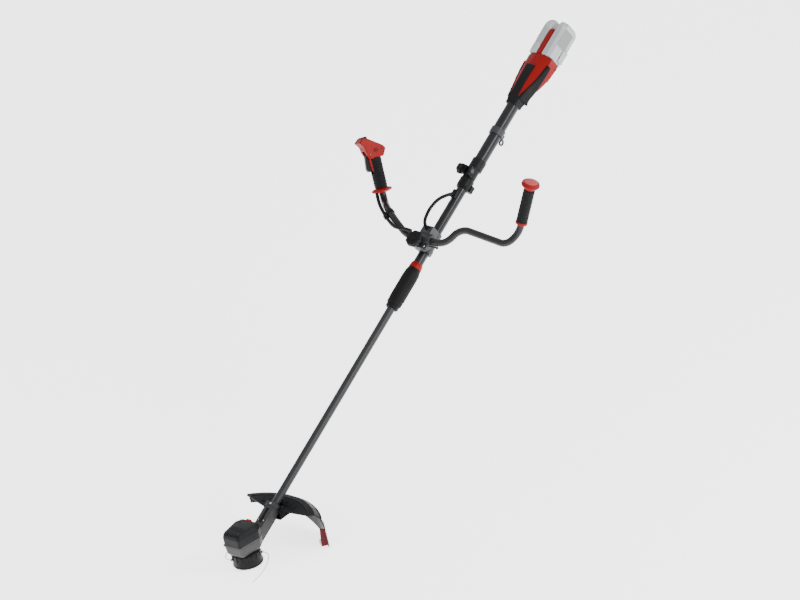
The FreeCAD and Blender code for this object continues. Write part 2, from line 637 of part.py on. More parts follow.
# Motor head: arm, housing, cover and the motor inside.
arm_front = 50
arm_rear = 175
arm_solid = fused(block(spot(SHAFT, z=arm_front - 12), 35, 33, arm_rear - arm_front + 12),
                  block(spot(SHAFT, 0, 0, arm_rear - 14), 39, 37, 14),
                  block(spot(HEAD, 0, 54, 52), 50, 8, 32))
arm_slot = block(spot(SHAFT, 0, 15, 100), 12, 8, 52)
keep(cut(arm_solid, block(spot(HEAD, 0, 0, -50), 300, 100.1, 300),
         cylinder(spot(SHAFT, z=dim.lower_tube_start - 0.2), lower_r + dim.snug, 100), arm_slot), "arm")
HEAD_PLAN = [Vector(-34, -50, 0), Vector(34, -50, 0), Vector(46, 26, 0), Vector(34, 50, 0),
             Vector(-34, 50, 0), Vector(-46, 26, 0)]


def head_loft(levels, inset=0):
    """A closed solid over the head's plan, scaled at each height."""
    sections = []
    for height, scale in levels:
        reach = scale - inset / 46
        points = [Vector(p.x * reach, p.y * reach, height) for p in HEAD_PLAN]
        sections.append(rounded_wire(points, 9))
    return Part.makeLoft(sections, True, True)


bottom, split, top = float(dim.head_bottom), float(dim.head_split), float(dim.head_top)
lower_levels = [(bottom, 0.86), (bottom + 8, 0.95), (split, 1)]
housing = head_loft(lower_levels).cut(head_loft([(bottom + 3, 0.86), (bottom + 8, 0.95), (split, 1)], 4))
shaft_hole = Part.makeCylinder(float(dim.motor_shaft_d) / 2 + 3, 40, Vector(0, 0, bottom - 10))
bearing_seat = Part.makeCylinder(11 + float(dim.snug), 40, Vector(0, 0, bottom + 2))
boss = Part.makeCylinder(14, 8, Vector(0, 0, bottom + 1))
housing = housing.fuse(boss).cut(shaft_hole).cut(bearing_seat)
keep(feature("head_housing", housing), "head_housing")
cover_levels = [(split + 0.1, 1), (split + 31, 1), (split + 40, 0.95), (top, 0.87)]
cover_room = [(split + 0.1, 1), (split + 29, 1), (split + 37, 0.95), (top - 3, 0.87)]
cover = head_loft(cover_levels).cut(head_loft(cover_room, 4))
bearing_boss = Part.makeCylinder(14, 25, Vector(0, 0, split + 19)).cut(
    Part.makeCylinder(11 + float(dim.snug), 8, Vector(0, 0, split + 18)))
button_room = Part.makeBox(19, 10, 40, Vector(-13.5, 38.5, split + 8))
cover = cover.fuse(bearing_boss).cut(button_room)
keep(feature("head_cover", cover), "head_cover")
keep(block(spot(HEAD, -4, 43.5, split + 27), 18, 9, 21), "spindle_lock_button")
keep(turned("stator", [(25, 60), (34, 60), (34, 92), (25, 92)]), "stator")
keep(group(*[tube(spot(HEAD, 0, 0, z), 11, dim.motor_shaft_d / 2 + dim.snug, 7)
             for z in (bottom + 2.05, split + 19)]), "bearings")
shaft_r = dim.motor_shaft_d / 2
keep(turned("motor_rotor", [
    (0, 24), (shaft_r, 24), (shaft_r, 60), (23, 60), (23, 92), (shaft_r, 92), (shaft_r, 104), (0, 104)]),
    "motor_rotor")

# Spool: housing with a snap-in cap, a reel of line, its spring and the bump knob.
spool_r = dim.spool_d / 2
low, high = dim.spool_bottom, dim.spool_top
keep(turned("spool_housing", [
    (shaft_r + dim.snug, high), (spool_r - 6, high), (spool_r - 2, high - 4), (spool_r, low + 6.1),
    (spool_r - 3, low + 6.1), (spool_r - 5, high - 7), (shaft_r + 4, high - 4), (shaft_r + 4, high - 16),
    (shaft_r + dim.snug, high - 16)]), "spool_housing")
keep(turned("spool_cap", [
    (dim.bump_d / 2 + 0.6, low), (spool_r, low), (spool_r + 1, low + 2), (spool_r + 1, low + 6),
    (dim.bump_d / 2 + 0.6, low + 6)]), "spool_cap")
keep(turned("spool_reel", [
    (10, 16), (38, 16), (38, 18), (19, 18), (19, 34), (38, 34), (38, 36), (10, 36)]), "spool_reel")
keep(turned("wound_line", [(19.05, 18.1), (33, 18.1), (33, 33.9), (19.05, 33.9)]), "wound_line")
bump_r = dim.bump_d / 2
keep(turned("bump_knob", [
    (0, 0), (bump_r - 6, 0), (bump_r, 4), (bump_r, 9.5), (7, 9.5), (7, 15), (0, 15)]), "bump_knob")
coil_path = Part.makeHelix(3.6, 18, 8.4)
wire_half = 0.7
coil_section = Part.makePolygon([Vector(8.4 + x * wire_half, 0, z * wire_half)
                                 for x, z in ((-1, -1), (1, -1), (1, 1), (-1, 1), (-1, -1))])
coil = coil_path.makePipeShell([coil_section], True, True)
keep(feature("bump_spring", coil, spot(HEAD, 0, 0, 10.2)), "bump_spring")
line_points = [Vector(26, 37.5, 25), Vector(49, 42, 25), Vector(72, 20, 23), Vector(90, -14, 17),
               Vector(98, -52, 10), Vector(98, -88, 5)]
line_shape = swept(line_points, float(dim.line_d) / 2)
keep(feature("line_end_front", line_shape), "line_end_front")
keep(feature("line_end_rear", line_shape, spot(HEAD, turn=Rotation(Vector(0, 0, 1), 180))), "line_end_rear")

# Guard: a turned shell with a skirt, trimmed to a sector, notched for the arm and tied under it.
guard_r = float(dim.guard_r)
skin = float(dim.guard_wall)
outer_line = [(146, 112), (200, 115), (226, 111), (240, 97), (guard_r - 1, 66), (guard_r, 2)]
inner_line = [(guard_r - skin, 2), (guard_r - skin - 1, 65.5), (237.3, 95.5), (224.7, 108.1), (200, 112), (146, 109)]
section = Part.Face(Part.makePolygon([Vector(r, 0, z) for r, z in
                                      outer_line + inner_line + outer_line[:1]]))


def turned_sector(face, first, last):
    """Turn a section about the spool axis between two bearings measured from +Y towards +X."""
    shape = face.revolve(Vector(), Vector(0, 0, 1), last - first)
    shape.rotate(Vector(), Vector(0, 0, 1), 90 - last)
    return shape


left_end, right_end = -37, 43.5
guard = turned_sector(section, left_end, right_end)
plan = Part.Face(Part.makePolygon([Vector(-170, 182, -5), Vector(-24, 140, -5), Vector(24, 140, -5),
                                   Vector(190, 150, -5), Vector(190, 300, -5), Vector(-170, 300, -5),
                                   Vector(-170, 182, -5)])).extrude(Vector(0, 0, 200))
skirt_line = Part.Face(Part.makePolygon([Vector(-260, 0, 78), Vector(-60, 0, 62), Vector(120, 0, 0),
                                         Vector(260, 0, 0), Vector(260, 0, 200), Vector(-260, 0, 200),
                                         Vector(-260, 0, 78)])).extrude(Vector(0, 400, 0))
guard = guard.common(plan).common(skirt_line)
guard = guard.cut(Part.makeBox(43, 60, 60, Vector(-21.5, 120, 84)))
tie = Part.makeBox(64, 44, 4, Vector(-32, 136, 80))
walls = [Part.makeBox(4, 40, 31, Vector(x, 140, 80)) for x in (-32, 28)]
leg = Part.makeBox(30, 5, 90, Vector(-15, -22, 62))
leg.Placement = SHAFT
guard = guard.fuse([tie, leg] + walls).removeSplitter()
keep(feature("guard", guard), "guard")
end_piece = turned_sector(section, right_end + 0.1, right_end + 4)
end_piece = end_piece.common(Part.makeBox(400, 400, 60, Vector(0, 0, 0)))
web = Part.Face(Part.makePolygon([Vector(r, 0, z) for r, z in (
    (224, 2), (guard_r - 1, 2), (guard_r - 1, 55), (238, 60), (230, 60), (224, 2))]))
end_piece = end_piece.fuse(turned_sector(web, right_end + 0.1, right_end + 1)).removeSplitter()
keep(feature("guard_end_piece", end_piece), "guard_end_piece")
blade = Part.makeBox(24, 1.6, 44, Vector(guard_r - skin - 25.4, -0.8, 2))
blade = blade.cut(Part.makeBox(16, 4, 26, Vector(guard_r - skin - 26, -2, 20)))
blade.rotate(Vector(), Vector(0, 0, 1), 90 - 41)
keep(feature("line_cutter", blade), "line_cutter")

# Check the whole document, then write one file for each sub-part.
doc.recompute()
for thing in doc.Objects:
    if "Invalid" in thing.State or "Error" in thing.State:
        raise RuntimeError("%s failed: %s" % (thing.Label, thing.State))
os.makedirs("parts", exist_ok=True)
for thing in nodes:
    shape = thing.Shape
    if shape.isNull() or not shape.isValid() or not shape.Solids:
        raise RuntimeError("%s has no valid solid" % thing.Label)
    shape.exportStep("parts/%s.step" % thing.Label)
print("%d sub-parts written" % len(nodes))
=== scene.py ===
import json
import math

import bmesh
import bpy
from mathutils import Matrix, Vector


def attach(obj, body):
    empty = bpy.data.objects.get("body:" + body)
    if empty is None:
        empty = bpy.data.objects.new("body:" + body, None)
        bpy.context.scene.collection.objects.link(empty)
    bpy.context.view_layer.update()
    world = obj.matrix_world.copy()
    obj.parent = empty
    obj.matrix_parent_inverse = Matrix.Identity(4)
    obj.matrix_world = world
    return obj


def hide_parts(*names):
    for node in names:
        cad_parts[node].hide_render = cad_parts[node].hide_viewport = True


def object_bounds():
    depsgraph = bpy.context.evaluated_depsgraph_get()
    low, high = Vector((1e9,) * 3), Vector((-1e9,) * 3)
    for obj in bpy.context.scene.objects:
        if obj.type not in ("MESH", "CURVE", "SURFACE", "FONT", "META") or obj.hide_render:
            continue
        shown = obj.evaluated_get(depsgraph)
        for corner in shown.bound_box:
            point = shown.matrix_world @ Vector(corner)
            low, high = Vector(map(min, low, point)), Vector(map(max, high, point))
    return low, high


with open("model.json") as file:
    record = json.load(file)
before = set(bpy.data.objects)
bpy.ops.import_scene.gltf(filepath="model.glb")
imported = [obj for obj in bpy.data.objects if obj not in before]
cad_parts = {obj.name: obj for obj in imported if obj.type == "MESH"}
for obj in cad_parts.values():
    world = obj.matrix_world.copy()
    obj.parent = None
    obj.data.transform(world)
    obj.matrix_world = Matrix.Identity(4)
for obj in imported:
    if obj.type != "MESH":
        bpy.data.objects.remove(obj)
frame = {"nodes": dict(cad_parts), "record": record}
cad_bounds = [list(corner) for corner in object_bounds()]
nodes = frame["nodes"]
joints = {joint["name"]: joint for joint in frame["record"]["behaviour"]["joints"]}
MM = 0.001

# Frames. On the shaft: a points to the trigger side, u up from the axis, s rearwards along it.
SLEEVE_STATION = 0.960
along = Vector(joints["telescope_slide"]["axis"])
above = Vector(joints["clamp_knob_turn"]["axis"])
aside = Vector(joints["star_knob_turn"]["axis"])
shaft_start = Vector(joints["sleeve_twist"]["pos_m"]) - along * SLEEVE_STATION


def frame_of(origin, x, y, z):
    """A 4x4 frame from its origin and its three axes."""
    return Matrix.Translation(origin) @ Matrix((x, y, z)).transposed().to_4x4()


SHAFT = frame_of(shaft_start, aside, above, along)
HEAD = Matrix.Identity(4)
grip_side = Vector(joints["trigger_pull"]["axis"])
grip_up = -Vector(joints["lockoff_press"]["axis"])
grip_front = grip_side.cross(grip_up)
PIN_FORWARD, PIN_UP = 0.019, 0.118
trigger_seat = Vector(joints["trigger_pull"]["pos_m"]) - grip_front * PIN_FORWARD - grip_up * PIN_UP
TRIGGER = frame_of(trigger_seat, grip_front, grip_side, grip_up)
plain_up = Vector((-grip_up.x, grip_up.y, grip_up.z))
plain_front = -along
plain_front = (plain_front - plain_up * plain_front.dot(plain_up)).normalized()
plain_seat = SHAFT @ Vector((-0.331, 0.049, 1.249))
PLAIN = frame_of(plain_seat, plain_front, plain_up.cross(plain_front), plain_up)


# Camera: far off with a long lens, rolled so that the shaft stands as a tool leans on a page.
def aim_camera(azimuth, elevation, roll, target, distance, width):
    data = bpy.data.cameras.new("camera")
    data.sensor_width = 36
    data.lens = data.sensor_width * distance / width
    data.clip_end = 200
    camera = bpy.data.objects.new("camera", data)
    bpy.context.scene.collection.objects.link(camera)
    az, el = math.radians(azimuth), math.radians(elevation)
    back = Vector((math.sin(az) * math.cos(el), -math.cos(az) * math.cos(el), math.sin(el)))
    right = Vector((math.cos(az), math.sin(az), 0))
    turn = Matrix.Rotation(math.radians(roll), 3, back)
    right = turn @ right
    camera.matrix_world = frame_of(target + back * distance, right, back.cross(right), back)
    bpy.context.scene.camera = camera


floor_level = cad_bounds[0][2] - 0.002
VIEW_WIDTH = 2.408
view_target = Vector((-0.0044, 0.8442, 0.4462))
aim_camera(48, 28, -13.48, view_target, 60.0, VIEW_WIDTH)


# Studio: pale floor, even surroundings and large soft lamps.
def area_lamp(name, place, target, size, power):
    data = bpy.data.lights.new(name, "AREA")
    data.shape = "RECTANGLE"
    data.size = size
    data.size_y = size * 0.6
    data.energy = power
    lamp = bpy.data.objects.new(name, data)
    lamp.location = place
    lamp.rotation_euler = (Vector(target) - Vector(place)).to_track_quat("-Z", "Y").to_euler()
    bpy.context.scene.collection.objects.link(lamp)


def studio():
    world = bpy.data.worlds.new("studio")
    world.use_nodes = True
    background = world.node_tree.nodes["Background"]
    background.inputs["Color"].default_value = (0.95, 0.97, 1.0, 1)
    background.inputs["Strength"].default_value = 1.15
    bpy.context.scene.world = world
    middle = (0, 0.9, 0.45)
    area_lamp("key", (3.8, 1.6, 2.6), middle, 1.6, 120)
    area_lamp("fill", (-2.6, -2.4, 2.6), middle, 3.0, 12)
    area_lamp("front", (2.6, -3.4, 1.6), middle, 2.4, 20)
    floor_data = bpy.data.meshes.new("floor")
    reach = 12
    level = floor_level
    corners = [(-reach, -reach, level), (reach, -reach, level), (reach, reach, level), (-reach, reach, level)]
    floor_data.from_pydata(corners, [], [(0, 1, 2, 3)])
    floor = bpy.data.objects.new("floor", floor_data)
    bpy.context.scene.collection.objects.link(floor)
    pale = bpy.data.materials.new("floor_pale")
    pale.use_nodes = True
    shader = pale.node_tree.nodes["Principled BSDF"]
    shader.inputs["Base Color"].default_value = (1.0, 1.0, 1.0, 1)
    shader.inputs["Roughness"].default_value = 0.9
    shader.inputs["Emission Color"].default_value = (1, 1, 1, 1)
    shader.inputs["Emission Strength"].default_value = 2.4
    floor_data.materials.append(pale)


studio()


# Materials. Coordinates are the mesh's own, in metres, so grain keeps its real size.
def surface(name, colour, rough, metallic=0.0, grain=900, bump=0.15, mottle=0.12, wear=0.25, worn=None,
            coat=0.0, stretch=(1, 1, 1), specular=0.14, alpha=1.0):
    """A moulded, cast or painted finish: mottled colour, fine grain, uneven gloss and worn edges."""
    material = bpy.data.materials.new(name)
    material.use_nodes = True
    tree = material.node_tree
    shader = tree.nodes["Principled BSDF"]
    shader.inputs["Metallic"].default_value = metallic
    shader.inputs["Coat Weight"].default_value = coat
    shader.inputs["Coat Roughness"].default_value = 0.25
    shader.inputs["Specular IOR Level"].default_value = specular
    shader.inputs["Alpha"].default_value = alpha

    def add(kind, **settings):
        node = tree.nodes.new(kind)
        for key, value in settings.items():
            node.inputs[key.replace("_", " ")].default_value = value
        return node

    def link(source, target):
        tree.links.new(source, target)

    place = tree.nodes.new("ShaderNodeTexCoord").outputs["Object"]
    mapping = add("ShaderNodeMapping", Scale=stretch)
    link(place, mapping.inputs["Vector"])
    broad = add("ShaderNodeTexNoise", Scale=26.0, Detail=5.0, Roughness=0.62)
    fine = add("ShaderNodeTexNoise", Scale=float(grain), Detail=3.0, Roughness=0.6)
    link(mapping.outputs["Vector"], broad.inputs["Vector"])
    link(mapping.outputs["Vector"], fine.inputs["Vector"])
    dark = [channel * (1 - mottle) for channel in colour]
    light = [min(1, channel * (1 + mottle)) for channel in colour]
    tint = add("ShaderNodeMix")
    tint.data_type = "RGBA"
    tint.inputs[6].default_value = (*dark, 1)
    tint.inputs[7].default_value = (*light, 1)
    link(broad.outputs["Fac"], tint.inputs[0])
    worn_colour = worn or [min(1, channel * 1.6 + 0.03) for channel in colour]
    edge = tree.nodes.new("ShaderNodeNewGeometry").outputs["Pointiness"]
    ramp = add("ShaderNodeMapRange", From_Min=0.53, From_Max=0.66, To_Min=0.0, To_Max=wear)
    link(edge, ramp.inputs["Value"])
    patchy = add("ShaderNodeMath")
    patchy.operation = "MULTIPLY"
    link(ramp.outputs["Result"], patchy.inputs[0])
    link(broad.outputs["Fac"], patchy.inputs[1])
    mixed = add("ShaderNodeMix")
    mixed.data_type = "RGBA"
    mixed.inputs[7].default_value = (*worn_colour, 1)
    link(tint.outputs[2], mixed.inputs[6])
    link(patchy.outputs["Value"], mixed.inputs[0])
    link(mixed.outputs[2], shader.inputs["Base Color"])
    gloss = add("ShaderNodeMapRange", From_Min=0.3, From_Max=0.7,
                To_Min=max(0.04, rough - 0.08), To_Max=min(1.0, rough + 0.08))
    link(broad.outputs["Fac"], gloss.inputs["Value"])
    link(gloss.outputs["Result"], shader.inputs["Roughness"])
    relief = add("ShaderNodeBump", Strength=bump, Distance=0.0004)
    link(fine.outputs["Fac"], relief.inputs["Height"])
    link(relief.outputs["Normal"], shader.inputs["Normal"])
    return material


FINISH = {
    "cast_grey": surface("cast_grey", (0.045, 0.045, 0.044), 0.48, metallic=0.35, grain=700, bump=0.3,
                         mottle=0.15),
    "cast_silver": surface("cast_silver", (0.05, 0.05, 0.05), 0.42, metallic=0.45, grain=600, bump=0.35),
    "cast_dark": surface("cast_dark", (0.035, 0.035, 0.037), 0.42, metallic=0.3, grain=600, bump=0.3),
    "bar_black": surface("bar_black", (0.012, 0.012, 0.013), 0.34, metallic=0.2, grain=1400, bump=0.12,
                         coat=0.25),
    "tube_dark": surface("tube_dark", (0.012, 0.012, 0.013), 0.36, metallic=0.45, grain=1500, bump=0.10,
                         coat=0.2),
    "tube_grey": surface("tube_grey", (0.032, 0.032, 0.033), 0.38, metallic=0.55, grain=1500, bump=0.10),
    "red_plastic": surface("red_plastic", (0.20, 0.003, 0.003), 0.45, grain=1100, bump=0.16, mottle=0.07,
                           worn=(0.34, 0.03, 0.02)),
    "dark_red_plastic": surface("dark_red_plastic", (0.08, 0.001, 0.004), 0.45, grain=1100, bump=0.16),
    "black_plastic": surface("black_plastic", (0.003, 0.003, 0.0034), 0.46, grain=1000, bump=0.22),
    "guard_black": surface("guard_black", (0.0025, 0.0025, 0.003), 0.50, grain=700, bump=0.28),
    "rubber_black": surface("rubber_black", (0.0035, 0.0035, 0.0038), 0.62, grain=1200, bump=0.35, wear=0.15),
    "lead_black": surface("lead_black", (0.005, 0.005, 0.0055), 0.42, grain=1300, bump=0.12),
    "steel": surface("steel", (0.50, 0.50, 0.50), 0.30, metallic=1.0, grain=900, bump=0.12,
                     stretch=(1, 1, 8)),
    "board_green": surface("board_green", (0.02, 0.16, 0.06), 0.4),
    "pack_pale": surface("pack_pale", (0.42, 0.43, 0.435), 0.34, grain=900, bump=0.10, mottle=0.04, wear=0.1,
                         alpha=0.82),
    "nylon_line": surface("nylon_line", (0.62, 0.63, 0.60), 0.35, grain=1500, bump=0.08, mottle=0.06),
}
# Painted highlight: a pinkish red, lighter than the red plastic, standing in for the lamp's broad reflection
# on the end knob's top.
FINISH["knob_face_painted_highlight"] = surface("knob_face_painted_highlight", (0.42, 0.07, 0.07), 0.5, grain=1100, bump=0.2, mottle=0.1)


def corrugate(material, rings):
    """Rings along a lead, as many as asked for from end to end."""
    tree = material.node_tree
    wave = tree.nodes.new("ShaderNodeTexWave")
    wave.inputs["Scale"].default_value = rings * math.tau / 20
    tree.links.new(tree.nodes.new("ShaderNodeTexCoord").outputs["UV"], wave.inputs["Vector"])
    rings_bump = tree.nodes.new("ShaderNodeBump")
    rings_bump.inputs["Strength"].default_value = 1.0
    rings_bump.inputs["Distance"].default_value = 0.0012
    tree.links.new(wave.outputs["Fac"], rings_bump.inputs["Height"])
    shader = tree.nodes["Principled BSDF"]
    tree.links.new(shader.inputs["Normal"].links[0].from_socket, rings_bump.inputs["Normal"])
    tree.links.new(rings_bump.outputs["Normal"], shader.inputs["Normal"])


corrugate(FINISH["lead_black"], 55)
slot_of = {item["node"]: item["material_slot"] for item in frame["record"]["subparts"]}
for node_name, node in nodes.items():
    if node_name in slot_of:
        node.data.materials.clear()
        node.data.materials.append(FINISH[slot_of[node_name]])


# Free cords. Each repeats its route in metres: leads on the shaft's frame, line ends on the head's.
def route(name, points, diameter, where, finish, body, replaced):
    curve = bpy.data.curves.new(name, "CURVE")
    curve.dimensions = "3D"
    curve.bevel_depth = diameter / 2
    curve.bevel_resolution = 5
    curve.resolution_u = 24
    curve.use_fill_caps = True
    spline = curve.splines.new("NURBS")
    spline.points.add(len(points) - 1)
    placed = [where @ Vector(point) for point in points]
    for target, point in zip(spline.points, placed):
        target.co = (*point, 1)
    spline.order_u = 3
    spline.use_endpoint_u = True
    cord = bpy.data.objects.new(name, curve)
    bpy.context.scene.collection.objects.link(cord)
    curve.materials.append(FINISH[finish])
    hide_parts(replaced)
    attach(cord, body)


LEAD = 0.011
LINE = 0.0024
LINE_ROUTE = [(0.026, 0.0375, 0.025), (0.049, 0.042, 0.025), (0.072, 0.020, 0.023), (0.090, -0.014, 0.017),
              (0.098, -0.052, 0.010), (0.098, -0.088, 0.005)]
route("handle_lead_cord", [(0.238, 0.064, 1.227), (0.222, 0.054, 1.203), (0.182, 0.054, 1.173),
                           (0.138, 0.058, 1.147), (0.098, 0.064, 1.129), (0.066, 0.060, 1.136),
                           (0.041, 0.055, 1.136)], LEAD, SHAFT, "lead_black", "handlebar", "handle_lead")
route("shaft_lead_cord", [(0, 0.0442, 1.161), (0, 0.068, 1.161), (0, 0.080, 1.205), (0, 0.070, 1.250),
                          (0, 0.046, 1.283), (0, 0.020, 1.308)], LEAD, SHAFT, "lead_black", "shaft",
      "shaft_lead")
route("line_front", LINE_ROUTE, LINE, HEAD, "nylon_line", "spool_drive", "line_end_front")
route("line_rear", LINE_ROUTE, LINE, HEAD @ Matrix.Rotation(math.pi, 4, "Z"), "nylon_line", "spool_drive",
      "line_end_rear")


# Piece builders. Points are in millimetres on a named frame; meshes end up in metres at the CAD's place.
def piece(name, points, faces, where, finish, body, replaces=(), smooth=True, bevel=0.0, solidify=0.0):
    """A mesh piece in its place, with its finish, riding on its body."""
    mesh = bpy.data.meshes.new(name)
    mesh.from_pydata([where @ (Vector(point) * MM) for point in points], [], faces)
    work = bmesh.new()
    work.from_mesh(mesh)
    bmesh.ops.remove_doubles(work, verts=work.verts, dist=1e-6)
    bmesh.ops.recalc_face_normals(work, faces=work.faces)
    work.to_mesh(mesh)
    work.free()
    thing = bpy.data.objects.new(name, mesh)
    bpy.context.scene.collection.objects.link(thing)
    mesh.materials.append(FINISH[finish])
    if smooth:
        mesh.shade_smooth()
        soften(thing)
    if solidify:
        skin = thing.modifiers.new("skin", "SOLIDIFY")
        skin.thickness = solidify * MM
        skin.offset = -1
    if bevel:
        round_edges(thing, bevel)
    if replaces:
        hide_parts(*replaces)
    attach(thing, body)
    return thing


def soften(thing, angle=32):
    """Smooth shading that keeps creases sharper than the angle."""
    bpy.context.view_layer.objects.active = thing
    for other in bpy.context.selected_objects:
        other.select_set(False)
    thing.select_set(True)
    bpy.ops.object.shade_smooth_by_angle(angle=math.radians(angle))


def round_edges(thing, width, segments=2, angle=30):
    bevel = thing.modifiers.new("edges", "BEVEL")
    bevel.width = width * MM
    bevel.segments = segments
    bevel.limit_method = "ANGLE"
    bevel.angle_limit = math.radians(angle)
    bevel.harden_normals = True


def loft_faces(rows, columns, closed=True, capped=True):
    faces = []
    wrap = columns if closed else columns - 1
    for row in range(rows - 1):
        for column in range(wrap):
            after = (column + 1) % columns
            faces.append((row * columns + column, row * columns + after,
                          (row + 1) * columns + after, (row + 1) * columns + column))
    if capped:
        faces.append(tuple(range(columns)))
        faces.append(tuple((rows - 1) * columns + column for column in range(columns)))
    return faces


def loft(name, sections, where, finish, body, **options):
    """A closed skin through sections that all have the same number of points."""
    points = [point for section in sections for point in section]
    return piece(name, points, loft_faces(len(sections), len(sections[0])), where, finish, body, **options)


def lathe(name, profile, where, finish, body, segments=72, **options):
    """A turned piece: its profile is a list of radius and height."""
    sections = []
    for radius, height in profile:
        reach = max(radius, 0.01)
        sections.append([(reach * math.cos(turn * math.tau / segments),
                          reach * math.sin(turn * math.tau / segments),
                          height) for turn in range(segments)])
    return loft(name, sections, where, finish, body, **options)


def slab(name, centre, size, where, finish, body, bevel=0.8, **options):
    """A block with rounded edges."""
    x, y, z = (length / 2 for length in size)
    cx, cy, cz = centre
    ring = [(-x, -y), (x, -y), (x, y), (-x, y)]
    sections = [[(cx + px, cy + py, cz + level) for px, py in ring] for level in (-z, z)]
    return loft(name, sections, where, finish, body, bevel=bevel, **options)


def profile_block(name, outline, low_y, high_y, where, finish, body, **options):
    """A side profile in x and z, as thick as from low y to high y."""
    sections = [[(x, y, z) for x, z in outline] for y in (low_y, high_y)]
    return loft(name, sections, where, finish, body, **options)


def turn_to(x_axis, y_axis, z_axis, at=(0, 0, 0)):
    """A local frame inside another one, from its axes and its origin in millimetres."""
    return frame_of(Vector(at) * MM, Vector(x_axis), Vector(y_axis), Vector(z_axis))


def along_a(at):
    return SHAFT @ turn_to((0, 0, -1), (0, 1, 0), (1, 0, 0), at)


def along_u(at):
    return SHAFT @ turn_to((1, 0, 0), (0, 0, -1), (0, 1, 0), at)


def hollow(thing, centre, size):
    """Cut a pocket, a block on the shaft's frame, out of a piece."""
    bpy.ops.mesh.primitive_cube_add(size=1)
    cutter = bpy.context.active_object
    cutter.matrix_world = SHAFT @ turn_to((1, 0, 0), (0, 1, 0), (0, 0, 1), centre) @ Matrix.Diagonal(
        (size[0] * MM, size[1] * MM, size[2] * MM, 1))
    bpy.context.view_layer.update()
    pocket = thing.modifiers.new("pocket", "BOOLEAN")
    pocket.object = cutter
    pocket.operation = "DIFFERENCE"
    pocket.solver = "EXACT"
    bpy.context.view_layer.objects.active = thing
    bpy.ops.object.modifier_apply(modifier="pocket")
    bpy.data.objects.remove(cutter, do_unlink=True)


def screw(name, where, body, radius=3.2, finish="steel"):
    """A pan-head screw with a round socket."""
    lathe(name, [(0, -2), (radius, -2), (radius, 1.0), (radius * 0.8, 1.9), (radius * 0.45, 2.1),
                 (radius * 0.4, 0.6), (0, 0.5)], where, finish, body, segments=24)


# CAD pieces that keep their shape get rounded edges where the real ones have them.
for node_name, width in {"arm": 2.2, "clamp_base": 1.8, "clamp_cap": 1.2, "coupling_body": 0.8,
                         "coupling_lower_collar": 1.0, "coupling_upper_collar": 1.2, "harness_collar": 0.7,
                         "handle_flange": 0.8, "lead_clip": 0.5, "head_cover": 1.2, "head_housing": 1.0,
                         "lock_sleeve": 1.0, "sleeve_ring": 0.8, "clamp_knob": 0.7, "star_knob": 0.9,
                         "trigger": 1.0, "lockoff_button": 1.2, "mode_button": 1.2, "line_cutter": 0.2,
                         "spindle_lock_button": 1.2, "housing_neck": 1.0, "tube_grommet": 0.8,
                         "guard_end_piece": 0.6, "handle_grip": 0.6, "handle_shell": 0.5}.items():
    if node_name in nodes:
        soften(nodes[node_name], 35)
        round_edges(nodes[node_name], width, segments=2, angle=35)


# Battery housing: a skin through creased sections, with a raised spine that runs into the fin.
HOUSING_START = 1649
HOUSING = [  # station, half width, top, bottom, shoulder width, shoulder depth, lower chamfer, spine height
    (20, 22.5, 17, -27, 6, 6, 6, 0), (45, 27, 18, -31, 9, 7, 8, 0), (68, 32, 19, -36, 13, 10, 10, 0),
    (90, 38, 19.3, -42, 17, 13, 12, 0), (115, 43, 19, -47, 20, 16, 13, 0.1),
    (135, 46.3, 18.2, -50.5, 22, 17, 14, 0.8),
    (160, 47.3, 17.4, -52, 22, 17, 14, 1.6), (176, 46.8, 16.6, -52, 21, 16, 14, 2.4),
    (180, 45, 15.8, -50.5, 20, 15, 14, 3.0)]
SPINE = 11


def housing_half(station_row):
    """The right half of one housing section, from the top centre to the bottom centre."""
    station, half_width, top, bottom, shoulder, depth, chamfer, spine = station_row
    return [(0, top + spine), (SPINE - 2, top + spine), (SPINE, top + spine * 0.4),
            (half_width - shoulder, top - 1.5),
            (half_width, top - depth), (half_width, bottom + chamfer), (half_width - chamfer, bottom),
            (0, bottom)]


def housing_width(station, height):
    """Half width of the housing at a station and a height above the shaft axis."""
    rows = [row for row in HOUSING if row[0] <= station] or HOUSING[:1]
    before = rows[-1]
    after = HOUSING[min(len(rows), len(HOUSING) - 1)]
    share = 0 if after[0] == before[0] else (station - before[0]) / (after[0] - before[0])
    widths = []
    for row in (before, after):
        outline = housing_half(row)
        width = row[1]
        for (a1, u1), (a2, u2) in zip(outline[3:], outline[4:]):
            if min(u1, u2) <= height <= max(u1, u2) and abs(u1 - u2) > 1e-6:
                width = a1 + (a2 - a1) * (height - u1) / (u2 - u1)
                break
        widths.append(width)
    return widths[0] + (widths[1] - widths[0]) * share


def housing_shells():
    for side, label in ((-1, "left"), (1, "right")):
        sections = [[(side * max(a, 0.12), u, HOUSING_START + row[0]) for a, u in housing_half(row)]
                    for row in HOUSING]
        loft("housing_%s_skin" % label, sections, SHAFT, "red_plastic", "shaft",
             replaces=["housing_shell_%s" % label], bevel=1.3)


def neck_skin():
    """The black neck: a squarish sleeve over the tube with a stepped front lip."""
    rows = [(-2, 19.5, 13.6, -23.6), (0, 21, 15.4, -25.4), (5, 21.4, 15.8, -25.8), (6, 20.6, 15, -25),
            (9, 20.6, 15, -25), (10, 21.6, 16, -26), (20.2, 22.8, 17.3, -27.3),
            (26, 24.6, 18.0, -28.8)]
    sections = []
    for station, half_width, top, bottom in rows:
        cut = 5
        sections.append([(a, u, HOUSING_START + station) for a, u in (
            (-half_width + cut, top), (half_width - cut, top), (half_width, top - cut),
            (half_width, bottom + cut),
            (half_width - cut, bottom), (-half_width + cut, bottom), (-half_width, bottom + cut),
            (-half_width, top - cut))])
    loft("neck_skin", sections, SHAFT, "black_plastic", "shaft", replaces=["housing_neck"], bevel=0.8)


